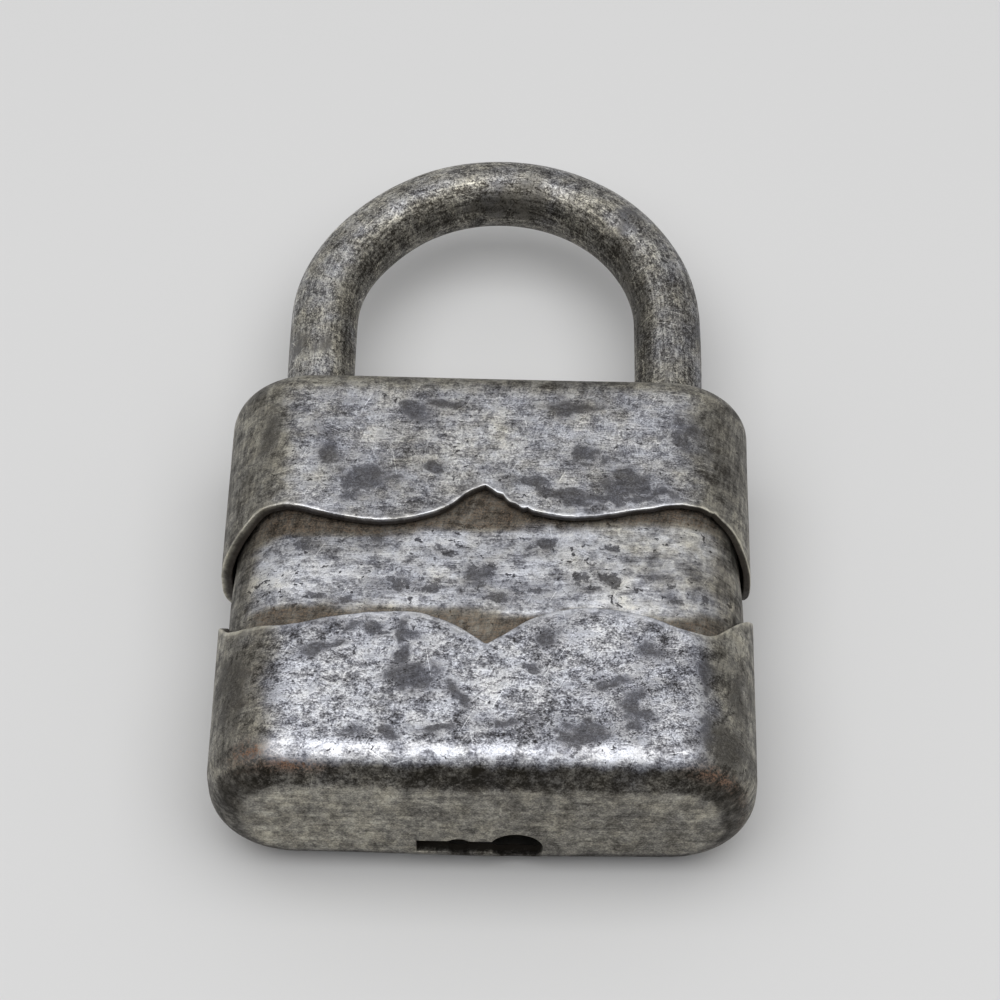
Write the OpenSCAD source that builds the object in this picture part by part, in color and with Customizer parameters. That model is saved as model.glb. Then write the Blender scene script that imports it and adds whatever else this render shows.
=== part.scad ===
// Old pressed-steel lever padlock, lying on its back with the shackle closed and the bolt drawn.
// X runs across the body, Y from the keyhole end towards the shackle, Z from the back to the front.
// Inside the modules Y is counted from the keyhole end; place() then centres the whole length.

/* [Body] */
// Width of the body over the caps
body_w = 60; // [56:1:74]
// Depth of the body from back to front
body_d = 21; // [20:0.5:26]
// Length of the body without the shackle
body_l = 54.6; // [50:0.2:68]
// Radius of the four long corners
corner_r = 9.6; // [8:0.1:10]
// Radius of the rounded edge at both ends
end_r = 5; // [4.2:0.1:6]
// Sheet thickness of the two caps
cap_t = 1.05; // [0.8:0.05:1.3]
// Sheet thickness of the inner case
case_t = 1.2; // [0.9:0.1:1.5]

/* [Wavy cap edges] */
// Skirt length at the notch in the middle
notch_l = 16.9; // [14:0.1:20]
// Skirt length at the two lobes beside the notch
lobe_l = 21.3; // [18:0.1:24]
// Distance of the lobes from the middle
lobe_x = 11.2; // [9:0.1:13]
// Skirt length at the dips near the corners
dip_l = 19; // [16:0.1:22]
// Distance of the dips from the middle
dip_x = 23.5; // [20:0.1:26]
// Skirt length at the side lobes
side_l = 25.3; // [22:0.1:26]

/* [Shackle] */
// Diameter of the shackle bar
bar_d = 8; // [6.5:0.1:9.6]
// Distance of each leg's centre from the side of the body
leg_inset = 9.5; // [8.8:0.1:11]
// Height of the arch's centre above the body
arch_rise = 14.6; // [8:0.2:30]
// Length of the short leg inside the body
toe_depth = 12; // [10:0.1:14]
// Depth of the notch that the bolt enters
notch_depth = 3.3; // [2.4:0.1:4]
// Distance of the retaining pin from the keyhole end
pin_y = 18.8; // [17:0.1:22]
// Diameter of the retaining pin
pin_d = 2.4; // [2:0.1:3]
// Depth of the long leg's flat and groove
groove_depth = 1.5; // [1:0.1:2]

/* [Keyhole] */
// Radius of the round part of the keyhole
key_r = 2.9; // [2.4:0.1:3.4]
// Height of the keyhole above the back
key_z = 5.2; // [4.8:0.1:6]
// Distance of the keyhole from the short leg's centre
key_to_toe = 16.7; // [16:0.1:20]
// Reach of the bit slot from the key's axis
slot_reach = 10.9; // [9:0.1:11]
// Width of the bit slot
slot_w = 2.6; // [2:0.1:3.2]

/* [Bolt] */
// Travel of the bolt
throw = 4.5; // [4:0.1:5]
// Thickness of the bolt
bolt_t = 2.8; // [2.2:0.1:3.2]
// Height of the bolt's tail
tail_h = 4.2; // [3.6:0.1:4.6]

/* [Levers] */
// Thickness of one lever
lever_t = 2; // [1.6:0.1:2.2]
// Gap between two levers
lever_gap = 0.6; // [0.4:0.05:0.8]
// Angle that the levers lift through
lever_lift = 5.1; // [4:0.1:5.4]
// Radius of the lever post
post_r = 2.5; // [2:0.1:2.7]

/* [Hidden] */
$fn = 96;

// Clearances
seat = 0.05;       // between pieces that sit on each other
loose = 0.3;       // between a moving piece and what it passes
run_fit = 0.05;    // round a turning or sliding fit
leg_fit = 0.1;     // round a leg in its guide
side_gap = 0.5;    // between the works and the shackle's legs
proud = 1;         // how far a cutting shape runs past what it cuts

// Keyhole's wide place, as a share of the slot's reach and of its width
wide_share = 0.58;
wide_factor = 0.64;

// Body
corner = min(corner_r, body_d / 2 - loose);
mid_z = body_d / 2;
case_out = cap_t + seat;
case_in = case_out + case_t;
front_z = body_d - case_in;
top_y = body_l - case_in;
base_t = 2.2;
base_y = case_out + base_t;
edge_steps = 60;

// Shackle
bar_r = bar_d / 2;
leg_x = body_w / 2 - leg_inset;
arch_y = body_l + arch_rise;
toe_y = body_l - toe_depth;
toe_clear = 0.5;
lift = toe_depth + toe_clear;
leg_bevel = 0.8;
ring_play = 0.4;
ring_w = pin_d + ring_play;
heel_foot = 0.9;
ring_to_end = ring_w / 2 + heel_foot;
heel_y = pin_y - lift - ring_to_end;
pin_x = -leg_x + bar_r - groove_depth + seat + pin_d / 2;
overall_l = arch_y + leg_x + bar_r;

// Levels along Y, from the shackle end down
upper_t = 3.5;
upper_y = top_y - seat - upper_t;
post_seat = 2.2;
post_top = upper_y + post_seat;
bolt_y = upper_y - loose - bolt_t;
lever_n = 4;
lever_pitch = lever_t + lever_gap;
lever_to_bolt = 0.4;
lever_top_y = bolt_y - lever_to_bolt;
lever_low_y = lever_top_y - lever_n * lever_pitch + lever_gap;
ward_h = 1.8;
ward_gap = 1;
ward_out = 5.4;
ward_in = 4.5;
ward_open = 2;
lower_t = 2;
lower_y = lever_low_y - ward_h - ward_gap - lower_t;

// Key and bolt, across the body
key_x = leg_x - key_to_toe;
tip_gap = throw - notch_depth + loose;
tip_x = leg_x - bar_r - tip_gap;
rail_h = 2.2;
rail_to_case = 0.2;
tail_top = front_z - rail_h - loose - rail_to_case;
tail_low = tail_top - tail_h;
head_drop = 2.7;
head_low = mid_z - head_drop;
head_top = mid_z + bar_r;
head_l = 2.4;
head_lap = 1;
neck_l = 5;
talon_h = 2.2;
bit_t = 2.3;
tip_r = 1.5;
bit_rise = tail_low + talon_h - loose - key_z;
bit_drop = tail_low - key_z;
bit_swing = 2 * sqrt(pow(bit_rise, 2) - pow(bit_drop, 2));
talon_w = bit_swing + bit_t - throw + 2 * loose;
talon_x = key_x - throw / 2;
tail_end = -leg_x + bar_r + 3 * side_gap;

// Levers
hub_r = 4;
lever_x = -leg_x + bar_r + hub_r + side_gap;
lever_rise = 1.8;
lever_z = key_z + lever_rise;
nose_x = leg_x - bar_r - side_gap;
spring_room = 2.9;
lever_top_z = front_z - spring_room;
arm_l = 6;
arm_x = lever_x + arm_l;
arm_foot = [2.8, 1.6];
arm_heel = [1.6, 3];
sole = 1;
belly_l = 3.2;
belly_rise = 5;
stump_w = 1.2;
stump_h = 1.8;
stump_to_nose = 6.87;
stump_x = nose_x - stump_to_nose;
window_roof = 0.8;
gate_play = 0.2;
window_play = 0.25;
stump_z = lever_top_z - window_roof - gate_play - stump_h / 2;
gate_wall = 0.7;
belly_r = [6.0, 5.6, 5.8, 5.4];
spacer_r = 3.2;
spring_t = 0.35;
spring_root = 1.4;
spring_inset = 0.2;
spring_to_arm = 2;
spring_x = arm_x + spring_to_arm;
blade_l = 10;
bend = 0.1;

// Posts between the plates, between each leg and the case
post_to_leg = 0.5;
post_to_case = 0.7;
frame_post_r = (mid_z - case_in - bar_r - post_to_leg - post_to_case) / 2;
frame_post_x = leg_x - loose;
frame_post_dz = bar_r + post_to_leg + frame_post_r;

// Rails round the bolt, and the X, Z and radius of their rivets
front_rail_z = tail_top + loose;
tail_rail_top = tail_low - loose;
head_rail_top = head_low - loose;
head_rail_h = 1.7;
head_rail_w = 3;
front_rail_end = key_x + 3;
tail_rail_end = lever_x + 5.2;
rail_end = tail_end + side_gap;
rivet_r = 0.8;
pin_rivet_r = 0.48;
rivet_in = 0.9;
pin_in = 0.6;
rail_rivets_xz = [
    [rail_end + 1.5, front_rail_z + rivet_in, rivet_r],
    [front_rail_end - 2, front_rail_z + rivet_in, rivet_r],
    [rail_end + pin_in + 0.5, tail_rail_top - pin_in, pin_rivet_r],
    [tail_rail_end - 1, tail_rail_top - pin_in, pin_rivet_r],
    [nose_x - head_rail_w / 2, head_rail_top - rivet_in, pin_rivet_r],
];

// Centres the whole length on Y = 0.
module place() {
    translate([0, -overall_l / 2, 0]) children();
}

// A plan in X and Z, filled from y0 to y1.
module along_y(y0, y1) {
    translate([0, y1, 0]) rotate([90, 0, 0]) linear_extrude(y1 - y0) children();
}

// A round bar parallel to Y.
module bar_y(x, z, r, y0, y1) {
    translate([x, y1, z]) rotate([90, 0, 0]) cylinder(h = y1 - y0, r = r);
}

// A block between two opposite corners.
module block(a, b) {
    translate(a) cube(b - a);
}

// A rectangle with round corners, centred on X, standing on the X axis.
module rounded_rect(w, l, r) {
    translate([-w / 2, r]) square([w, l - 2 * r]);
    translate([r - w / 2, 0]) square([w - 2 * r, l]);
    for (x = [r - w / 2, w / 2 - r], y = [r, l - r])
        translate([x, y]) circle(r);
}

// The body's outer form, smaller by inset all round, with round edges at both ends.
module body_form(inset) {
    w = body_w - 2 * inset;
    d = body_d - 2 * inset;
    l = body_l - 2 * inset;
    r = corner - inset;
    e = end_r - inset;
    for (x = [r - w / 2, w / 2 - r], z = [inset + r, body_d - inset - r])
        translate([x, inset + l, z])
            rotate([90, 0, 0])
                rotate_extrude()
                    intersection() {
                        rounded_rect(2 * r, l, e);
                        square([r, l]);
                    }
    translate([r - w / 2, inset, mid_z])
        rotate([90, 0, 90])
            linear_extrude(w - 2 * r)
                rotate(-90)
                    rounded_rect(d, l, e);
    translate([0, inset, inset + r])
        linear_extrude(d - 2 * r)
            rounded_rect(w, l, e);
}

// Skirt length of a cap at a distance x from the middle.
function ease(a, b, t) = a + (b - a) * (1 - cos(180 * t)) / 2;
function skirt_l(x) =
    let (u = abs(x))
    u < lobe_x ? notch_l + (lobe_l - notch_l) * sin(90 * u / lobe_x) :
    u < dip_x ? ease(lobe_l, dip_l, (u - lobe_x) / (dip_x - lobe_x)) :
    ease(dip_l, side_l, (u - dip_x) / (body_w / 2 - dip_x));

// A drawn cap, closed at Y = 0, with its wavy skirt.
module drawn_cap() {
    step = body_w / edge_steps;
    edge = [for (i = [0:edge_steps]) let (x = -body_w / 2 + i * step) [x, skirt_l(x)]];
    far = body_w / 2 + proud;
    intersection() {
        difference() {
            body_form(0);
            body_form(cap_t);
        }
        translate([0, 0, -proud])
            linear_extrude(body_d + 2 * proud)
                polygon(concat([[far, -proud], [-far, -proud], [-far, side_l]], edge, [[far, side_l]]));
    }
}

// Both leg holes, with a clearance round the bar.
module leg_holes(y0, y1, gap) {
    for (x = [-leg_x, leg_x])
        bar_y(x, mid_z, bar_r + gap, y0, y1);
}

// The keyhole: a round hole, a bit slot and the slot's wide place.
module keyhole(y0, y1) {
    bar_y(key_x, key_z, key_r, y0, y1);
    block([key_x - slot_reach, y0, key_z - slot_w / 2], [key_x, y1, key_z + slot_w / 2]);
    bar_y(key_x - slot_reach * wide_share, key_z, slot_w * wide_factor, y0, y1);
}

module frame_posts(r, y0, y1) {
    for (x = [-frame_post_x, frame_post_x], z = [mid_z - frame_post_dz, mid_z + frame_post_dz])
        bar_y(x, z, r, y0, y1);
}

// Casing

module top_cap() {
    color("#8d8d8e") place()
        difference() {
            translate([0, body_l, 0]) mirror([0, 1, 0]) drawn_cap();
            leg_holes(body_l - end_r, body_l + proud, loose);
        }
}

module inner_case() {
    color("#98989b") place()
        difference() {
            body_form(case_out);
            body_form(case_in);
            block([-body_w, -proud, -proud], [body_w, base_y + seat, body_d + proud]);
            leg_holes(top_y - proud, body_l + proud, loose);
            translate([pin_x, pin_y, 0]) cylinder(h = body_d, r = pin_d / 2);
        }
}

module bottom_cap() {
    color("#9a9ba2") place()
        difference() {
            drawn_cap();
            keyhole(-proud, end_r);
        }
}

// Frame of the works

module base_plate() {
    color("#6f6c66") place()
        difference() {
            intersection() {
                body_form(case_out);
                block([-body_w, 0, 0], [body_w, base_y, body_d]);
            }
            keyhole(0, base_y + proud);
        }
}

module lower_plate() {
    w = body_w - 2 * case_in - 2 * seat;
    d = body_d - 2 * case_in - 2 * seat;
    color("#6f6c66") place()
        difference() {
            along_y(lower_y, lower_y + lower_t)
                translate([0, case_in + seat]) rounded_rect(w, d, corner - case_in);
            keyhole(lower_y - proud, lower_y + lower_t + proud);
            bar_y(-leg_x, mid_z, bar_r + leg_fit, lower_y - proud, lower_y + lower_t + proud);
            frame_posts(frame_post_r, lower_y - proud, lower_y + lower_t + proud);
            bar_y(lever_x, lever_z, post_r, lower_y - proud, lower_y + lower_t + proud);
        }
}

module upper_plate() {
    color("#6f6c66") place()
        difference() {
            intersection() {
                body_form(case_in + seat);
                block([-body_w, upper_y, 0], [body_w, body_l, body_d]);
            }
            leg_holes(upper_y - proud, body_l, leg_fit);
            frame_posts(frame_post_r, upper_y - proud, post_top);
            bar_y(lever_x, lever_z, post_r, upper_y - proud, post_top);
            bar_y(key_x, key_z, tip_r, upper_y - proud, post_top);
            rail_rivet_bars(upper_y - proud, post_top);
        }
}

module plate_posts() {
    color("#77736b") place() frame_posts(frame_post_r, base_y, post_top);
}

module lever_post() {
    color("#77736b") place() bar_y(lever_x, lever_z, post_r, lower_y, post_top);
}

// Tubes on the lever post that keep the levers apart.
module lever_spacers() {
    ends = concat(
        [[lower_y + lower_t, lever_low_y - seat]],
        [for (i = [1:lever_n - 1]) let (y = lever_y(i) - lever_gap) [y + seat, y + lever_gap - seat]],
        [[lever_top_y + seat, upper_y]]
    );
    color("#8a857a") place()
        for (e = ends)
            difference() {
                bar_y(lever_x, lever_z, spacer_r, e[0], e[1]);
                bar_y(lever_x, lever_z, post_r, e[0] - proud, e[1] + proud);
            }
}

// Half a ring that a wrong key's bit strikes.
module ward_ring() {
    y0 = lower_y + lower_t;
    color("#8a857a") place()
        difference() {
            bar_y(key_x, key_z, ward_out, y0, y0 + ward_h);
            bar_y(key_x, key_z, ward_in, y0 - proud, y0 + ward_h + proud);
            block([key_x - 2 * ward_out, y0 - proud, key_z - 2 * ward_out],
                  [key_x + 2 * ward_out, y0 + ward_h + proud, key_z + ward_open]);
        }
}

// Shackle

module leg(x, y0) {
    bar_y(x, mid_z, bar_r, y0 + leg_bevel, arch_y);
    translate([x, y0 + leg_bevel, mid_z])
        rotate([90, 0, 0])
            cylinder(h = leg_bevel, r1 = bar_r, r2 = bar_r - leg_bevel);
}

module shackle() {
    flat_x = -leg_x + bar_r - groove_depth;
    ring_y = heel_y + ring_to_end - ring_w / 2;
    color("#7f7d7a") place()
        difference() {
            union() {
                translate([0, arch_y, mid_z])
                    rotate_extrude(angle = 180)
                        translate([leg_x, 0])
                            circle(bar_r);
                leg(-leg_x, heel_y);
                leg(leg_x, toe_y);
            }
            // Notch for the bolt
            block([leg_x - bar_r - proud, bolt_y - loose, 0],
                  [leg_x - bar_r + notch_depth, bolt_y + bolt_t + loose, body_d]);
            // Flat that the retaining pin runs along
            block([flat_x, ring_y + ring_w / 2, 0], [0, pin_y + ring_w / 2, body_d]);
            // Groove that lets the lifted shackle turn
            difference() {
                bar_y(-leg_x, mid_z, bar_r + proud, ring_y, ring_y + ring_w);
                bar_y(-leg_x, mid_z, bar_r - groove_depth, ring_y - proud, ring_y + ring_w + proud);
            }
        }
}

module heel_pin() {
    color("#77736b") place()
        translate([pin_x, pin_y, case_out])
            cylinder(h = body_d - 2 * case_out, r = pin_d / 2);
}

// Bolt and its rails

module bolt() {
    color("#8a857a") place()
        difference() {
            union() {
                block([tail_end, bolt_y, tail_low], [tip_x, bolt_y + bolt_t, tail_top]);
                block([tip_x - head_l, bolt_y, head_low], [tip_x, bolt_y + bolt_t, tail_low + head_lap]);
                block([stump_x - stump_w / 2, lever_low_y - lever_to_bolt, stump_z - stump_h / 2],
                      [stump_x + stump_w / 2, bolt_y + head_lap, stump_z + stump_h / 2]);
            }
            block([talon_x - talon_w / 2, bolt_y - proud, tail_low - proud],
                  [talon_x + talon_w / 2, bolt_y + bolt_t + proud, tail_low + talon_h]);
            block([tip_x - neck_l, bolt_y - proud, head_top],
                  [tip_x + proud, bolt_y + bolt_t + proud, front_z]);
        }
}

module rail_rivet_bars(y0, y1) {
    for (p = rail_rivets_xz)
        bar_y(p[0], p[1], p[2], y0, y1);
}

module rail(x0, x1, z0, z1) {
    color("#8a857a") place()
        difference() {
            block([x0, bolt_y, z0], [x1, upper_y, z1]);
            rail_rivet_bars(bolt_y - proud, upper_y + proud);
        }
}

module front_rail() {
    rail(rail_end, front_rail_end, front_rail_z, front_rail_z + rail_h);
}

module tail_rail() {
    rail(rail_end, tail_rail_end, lever_z + spacer_r + leg_fit, tail_rail_top);
}

module head_rail() {
    rail(nose_x - head_rail_w, nose_x, head_rail_top - head_rail_h, head_rail_top);
}

module rail_rivets() {
    color("#b0a890") place() rail_rivet_bars(bolt_y, post_top);
}

// Levers

function lever_y(i) = lever_top_y - (i - 1) * lever_pitch - lever_t;

// Centre of the stump as the lever sees it, when the bolt has gone a share of its travel.
function stump_at(share) =
    let (
        turn = lever_lift * share,
        x = stump_x + share * throw - lever_x,
        z = stump_z - lever_z
    )
    [lever_x + x * cos(turn) + z * sin(turn), lever_z - x * sin(turn) + z * cos(turn)];

window_low = stump_at(1)[1] - stump_h / 2 - window_play;

// The window that the stump moves through, with a tooth above and below the gate.
module lever_window() {
    x0 = stump_at(0)[0] - stump_w / 2 - window_play;
    x1 = stump_at(1)[0] + stump_w / 2 + window_play;
    z1 = stump_at(0)[1] + stump_h / 2 + gate_play;
    reach = (gate_wall + stump_w) / 2 / throw;
    gate_x = stump_at(0.5)[0] - gate_wall / 2;
    gate_top = stump_at(0.5 - reach)[1] + stump_h / 2 + gate_play;
    gate_low = stump_at(0.5 + reach)[1] - stump_h / 2 - gate_play;
    difference() {
        translate([x0, window_low]) square([x1 - x0, z1 - window_low]);
        translate([gate_x, gate_top]) square([gate_wall, z1]);
        translate([gate_x, 0]) square([gate_wall, gate_low]);
    }
}

// The lever's arm, with its belly over the key, its window and the slit for its spring.
module lever_arm(i) {
    difference() {
        polygon([
            [lever_x - arm_heel[0], lever_z + arm_heel[1]], [arm_x, lever_top_z], [nose_x, lever_top_z],
            [nose_x, window_low - sole], [key_x + belly_l, window_low - sole],
            [key_x - belly_rise, key_z + belly_r[0]], [lever_x + arm_foot[0], lever_z + arm_foot[1]],
        ]);
        translate([key_x, key_z]) circle(belly_r[i - 1]);
        lever_window();
        translate([spring_x - spring_t / 2, lever_top_z - spring_root])
            square([spring_t, spring_root + proud]);
    }
}

module lever(i) {
    y0 = lever_y(i);
    color("#a39a84") place()
        difference() {
            union() {
                bar_y(lever_x, lever_z, hub_r, y0, y0 + lever_t);
                along_y(y0, y0 + lever_t) lever_arm(i);
            }
            bar_y(lever_x, lever_z, post_r + run_fit, y0 - proud, y0 + lever_t + proud);
        }
}

// A strip of even thickness along a line of points.
function strip(line, t) =
    let (
        n = len(line),
        dirs = [for (k = [0:n - 1]) line[min(k + 1, n - 1)] - line[max(k - 1, 0)]],
        side = [for (d = dirs) [-d[1], d[0]] / norm(d) * t / 2]
    )
    concat([for (k = [0:n - 1]) line[k] + side[k]], [for (k = [n - 1:-1:0]) line[k] - side[k]]);

// A leaf spring, rooted in its lever's back, that bears on the front of the case.
module lever_spring(i) {
    rise = front_z - lever_top_z - spring_t - seat - bend;
    blade = [for (t = [0.06:0.094:1]) [spring_x + blade_l * t, lever_top_z + bend + rise * sin(90 * t)]];
    line = concat([[spring_x, lever_top_z - spring_root], [spring_x, lever_top_z + bend]], blade);
    color("#5d6a80") place()
        along_y(lever_y(i) + spring_inset, lever_y(i) + lever_t - spring_inset)
            polygon(strip(line, spring_t));
}

module lever_1() { lever(1); }
module lever_2() { lever(2); }
module lever_3() { lever(3); }
module lever_4() { lever(4); }
module lever_spring_1() { lever_spring(1); }
module lever_spring_2() { lever_spring(2); }
module lever_spring_3() { lever_spring(3); }
module lever_spring_4() { lever_spring(4); }

top_cap();
inner_case();
bottom_cap();
base_plate();
lower_plate();
upper_plate();
plate_posts();
shackle();
heel_pin();
bolt();
front_rail();
tail_rail();
head_rail();
rail_rivets();
lever_post();
lever_spacers();
ward_ring();
lever_1();
lever_2();
lever_3();
lever_4();
lever_spring_1();
lever_spring_2();
lever_spring_3();
lever_spring_4();
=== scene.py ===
"""Looks of the pressed-steel lever padlock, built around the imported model.

Lengths in this file are millimetres; a mesh is scaled to metres when it is made.
H is the distance from the closed end of a drawn sheet piece, Y runs along the lock.
"""
import math

import bmesh
import bpy
import numpy as np
from mathutils import Matrix, Vector


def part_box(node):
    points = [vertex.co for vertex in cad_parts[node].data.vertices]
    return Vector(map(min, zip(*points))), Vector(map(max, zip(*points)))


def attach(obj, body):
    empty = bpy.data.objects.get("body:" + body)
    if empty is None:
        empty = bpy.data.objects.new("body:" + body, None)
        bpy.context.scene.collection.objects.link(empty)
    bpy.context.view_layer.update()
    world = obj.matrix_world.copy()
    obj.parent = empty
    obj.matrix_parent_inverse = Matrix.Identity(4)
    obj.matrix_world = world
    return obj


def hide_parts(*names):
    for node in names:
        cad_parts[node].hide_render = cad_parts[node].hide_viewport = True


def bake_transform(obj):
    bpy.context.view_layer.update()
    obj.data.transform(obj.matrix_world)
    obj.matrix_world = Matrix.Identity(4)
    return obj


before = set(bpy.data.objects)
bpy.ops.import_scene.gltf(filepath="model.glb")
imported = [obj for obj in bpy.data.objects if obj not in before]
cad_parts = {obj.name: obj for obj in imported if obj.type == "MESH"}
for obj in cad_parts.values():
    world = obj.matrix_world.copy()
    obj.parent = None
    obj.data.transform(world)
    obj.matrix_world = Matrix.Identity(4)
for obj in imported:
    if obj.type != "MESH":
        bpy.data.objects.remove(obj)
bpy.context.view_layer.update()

MM = 0.001

# Sizes of the CAD pieces, in the CAD's own frame
BODY_LO = np.array(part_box("bottom_cap")[0]) / MM
BODY_HI = np.array(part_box("top_cap")[1]) / MM
WIDTH = BODY_HI[0] - BODY_LO[0]
DEPTH = BODY_HI[2] - BODY_LO[2]
END_Y = BODY_LO[1]
TOP_Y = BODY_HI[1]
MID_Z = DEPTH / 2
CORNER_R = 9.6  # the body's long corners
END_R = 5.0  # the fold from an end into the sides
CAP_T = 1.05
CASE_T = 1.2
CASE_OUT = 1.1  # the case's outer face, in from the caps'
CASE_FOOT = 3.35  # the case's open edge, in from the lower end
SEAT = 0.05  # between pieces that sit on each other
LOOSE = 0.3  # between a moving piece and what it passes
PLATE_T = 3.5  # the upper plate
BOLT_T = 2.8
BAR_R = 4.0
LEG_X = 20.5
HOLE_R = BAR_R + LOOSE
TOE_DEPTH = 12  # the short leg, inside the body
BEVEL = 0.8  # at the legs' ends
NOTCH = 3.3  # the short leg's notch for the bolt
GROOVE = 1.5  # the long leg's flat and groove for the heel pin
RING_W = 2.8  # the groove's length
HEEL_FOOT = 0.9  # below the groove
PIN_X, PIN_Y = -16.75, END_Y + 18.8  # the heel pin
KEY_X, KEY_Z, KEY_R = 3.8, 5.2, 2.9  # the keyhole's round part
SLOT_X, SLOT_HALF = -7.1, 1.3  # its slot: the far end, and half the height
WIDE_X, WIDE_R, WIDE_HALF = -2.52, 1.66, 1.9  # the slot's wider place: middle, half height, half length

# Where the worn pieces differ from the CAD
TOP_END_R = 3.7  # the upper cap's end is folded more tightly
FLAT = 0.76  # length along the lock of the lower cap's front fold, as a share of its depth
SPLAY = 0.22  # how far the right leg stands out

# ---------------------------------------------------------------- noise

CELLS = 32
LATTICE = np.random.default_rng(11).random((CELLS, CELLS, CELLS)) * 2 - 1


def cloud(p, size, shift=0.0):
    """Smooth noise from -1 to 1 at points p, with features of the given size."""
    q = np.asarray(p, float) / size + shift
    i = np.floor(q).astype(int)
    f = q - i
    f = f * f * (3 - 2 * f)
    total = 0.0
    for corner in range(8):
        o = np.array([corner & 1, corner >> 1 & 1, corner >> 2 & 1])
        w = np.prod(np.where(o, f, 1 - f), axis=-1)
        j = (i + o) % CELLS
        total = total + w * LATTICE[j[..., 0], j[..., 1], j[..., 2]]
    return total


def smooth(lo, hi, v):
    """A smooth step from 0 to 1 as v goes from lo to hi."""
    t = np.clip((v - lo) / (hi - lo), 0, 1)
    return t * t * (3 - 2 * t)


def bell(v, at, width):
    """1 where v equals at, falling to almost nothing two widths away."""
    return np.exp(-(((v - at) / width) ** 2))


# ---------------------------------------------------------------- body outline

# Lengths round it: half the front's flat, a side's flat, a corner, then from the middle
# of the front to the middle of the back and of a side
STRAIGHT = WIDTH / 2 - CORNER_R
SIDE = DEPTH - 2 * CORNER_R
QUARTER = CORNER_R * math.pi / 2
HALF = 2 * STRAIGHT + 2 * QUARTER + SIDE
SIDE_P = STRAIGHT + QUARTER + SIDE / 2


def outline(p):
    """The corner's centre and the outward direction, in X and Z, at distance p round from the front's middle."""
    s = np.sign(p)
    q = np.abs(p)
    turn = np.clip((q - STRAIGHT) / CORNER_R, 0, math.pi / 2)
    turn = turn + np.clip((q - STRAIGHT - QUARTER - SIDE) / CORNER_R, 0, math.pi / 2)
    cx = np.clip(q, 0, STRAIGHT) - np.clip(q - (HALF - STRAIGHT), 0, STRAIGHT)
    cz = DEPTH - CORNER_R - np.clip(q - STRAIGHT - QUARTER, 0, SIDE)
    return np.stack([s * cx, cz], -1), np.stack([s * np.sin(turn), np.cos(turn)], -1)


def round_from_front(x, z):
    """The distance p of a point near the body's outline."""
    q = np.abs(x)
    upper = z > MID_Z
    dz = np.where(upper, z - (DEPTH - CORNER_R), CORNER_R - z)
    ang = np.arctan2(np.clip(q - STRAIGHT, 0, None), np.clip(dz, 1e-6, None))
    p = np.where(q < STRAIGHT, q, STRAIGHT + CORNER_R * ang)
    p = np.where(dz <= 0, SIDE_P - (z - MID_Z), p)
    p = np.where(upper | (dz <= 0), p, HALF - p)
    return np.sign(x) * p


def curve(points, q):
    """A smooth curve through given points, made of cubics with slopes from the neighbouring points."""
    xs, ys = np.array(points, float).T
    m = np.gradient(ys, xs)
    k = np.clip(np.searchsorted(xs, q) - 1, 0, len(xs) - 2)
    h = xs[k + 1] - xs[k]
    t = np.clip((q - xs[k]) / h, 0, 1)
    a = 2 * t**3 - 3 * t**2 + 1
    b = t**3 - 2 * t**2 + t
    c = -2 * t**3 + 3 * t**2
    d = t**3 - t**2
    return a * ys[k] + b * h * m[k] + c * ys[k + 1] + d * h * m[k + 1]


# Skirt length against distance from the front's middle, on each side
BOTTOM_LEFT = [(0, 16.3), (1.8, 17.6), (3.8, 18.9), (7.2, 20.2), (11.5, 20.3), (16.5, 19.7),
               (22, 18.5), (26.6, 19.0), (30, 20.0), (33, 22.2), (36.4, 24.6)]
BOTTOM_RIGHT = [(0, 16.3), (1.8, 17.5), (4, 19.1), (8.4, 20.9), (12.9, 21.2), (17.4, 20.3),
                (22, 18.6), (25.1, 18.7), (27, 20.2), (30.5, 23.0), (36.4, 26.2)]
TOP_LEFT = [(0, 17.0), (1.5, 17.6), (3.7, 19.5), (7.3, 21.3), (12.4, 22.0), (19, 20.8),
            (22.9, 19.9), (25.2, 20.1), (28.6, 22.0), (32, 23.4), (36.4, 24.1)]
TOP_RIGHT = [(0, 17.0), (0.8, 17.6), (2.7, 19.3), (6, 20.5), (10.8, 21.1), (17.2, 20.0),
             (22, 19.1), (26.5, 19.6), (29.3, 20.6), (32.5, 22.6), (36.4, 23.8)]


def skirt(p, left, right, seed, cusp):
    """Length of a cap's skirt at p, with its point at cusp and the roughness of a hand-cut edge."""
    p = (p - cusp + HALF) % (2 * HALF) - HALF
    q = np.abs(p)
    q = np.where(q > SIDE_P, 2 * SIDE_P - q, q)
    length = np.where(p < 0, curve(left, q), curve(right, q))
    at = np.stack([p, p * 0, p * 0 + seed], -1)
    return length + 0.07 * cloud(at, 1.9) + 0.05 * cloud(at, 0.7, 3.3)


def bottom_skirt(p):
    """The lower cap's wave."""
    return skirt(p, BOTTOM_LEFT, BOTTOM_RIGHT, 1.5, 0.2)


def top_skirt(p):
    """The upper cap's wave, with a few nicks."""
    length = skirt(p, TOP_LEFT, TOP_RIGHT, 7.5, -0.3)
    for at, width, depth in ((1.6, 0.35, 0.4), (3.1, 0.5, 0.35), (4.4, 0.3, 0.3), (26.0, 0.5, 0.35)):
        length = length - depth * bell(p, at, width)
    return length


# ---------------------------------------------------------------- sheet pieces

WELD = 2e-7  # metres: points nearer than this are one
SLIVER = 1e-8  # metres: shorter edges are dissolved


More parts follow.
